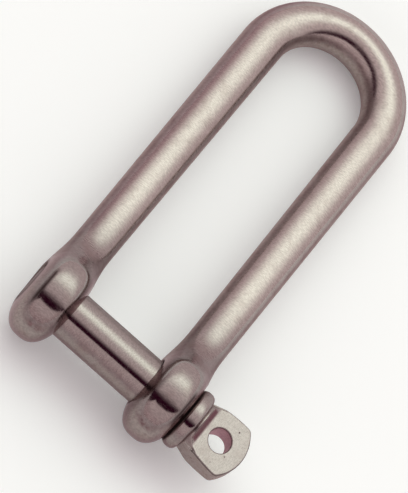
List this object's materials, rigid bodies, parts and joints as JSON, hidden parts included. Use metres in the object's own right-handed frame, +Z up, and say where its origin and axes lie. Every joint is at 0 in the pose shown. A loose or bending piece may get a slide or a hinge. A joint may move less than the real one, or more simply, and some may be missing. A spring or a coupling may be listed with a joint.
{
  "type": "long d shackle",
  "caption": "Long D shackle of round stainless bar with forged eyes and a screw pin with a collar and a flat tab, for joining chain.",
  "frame": {"origin": "on the pin's axis, midway between the two eyes", "axes": "+X along the pin toward its tab, +Y from the pin toward the bow, +Z up from the floor that the shackle lies on"},
  "size_m": [0.0637, 0.1243, 0.0232],
  "materials": {
    "forged_stainless": "satin",
    "turned_stainless": "polished"
  },
  "bodies": {
    "shackle": {"shackle_body": "forged_stainless"},
    "pin": {"screw_pin": "turned_stainless"}
  },
  "joints": [
    {"name": "pin_withdraw", "type": "slide", "parent": "shackle", "child": "pin", "axis": [1, 0, 0], "range_m": [0, 0.05]}
  ]
}
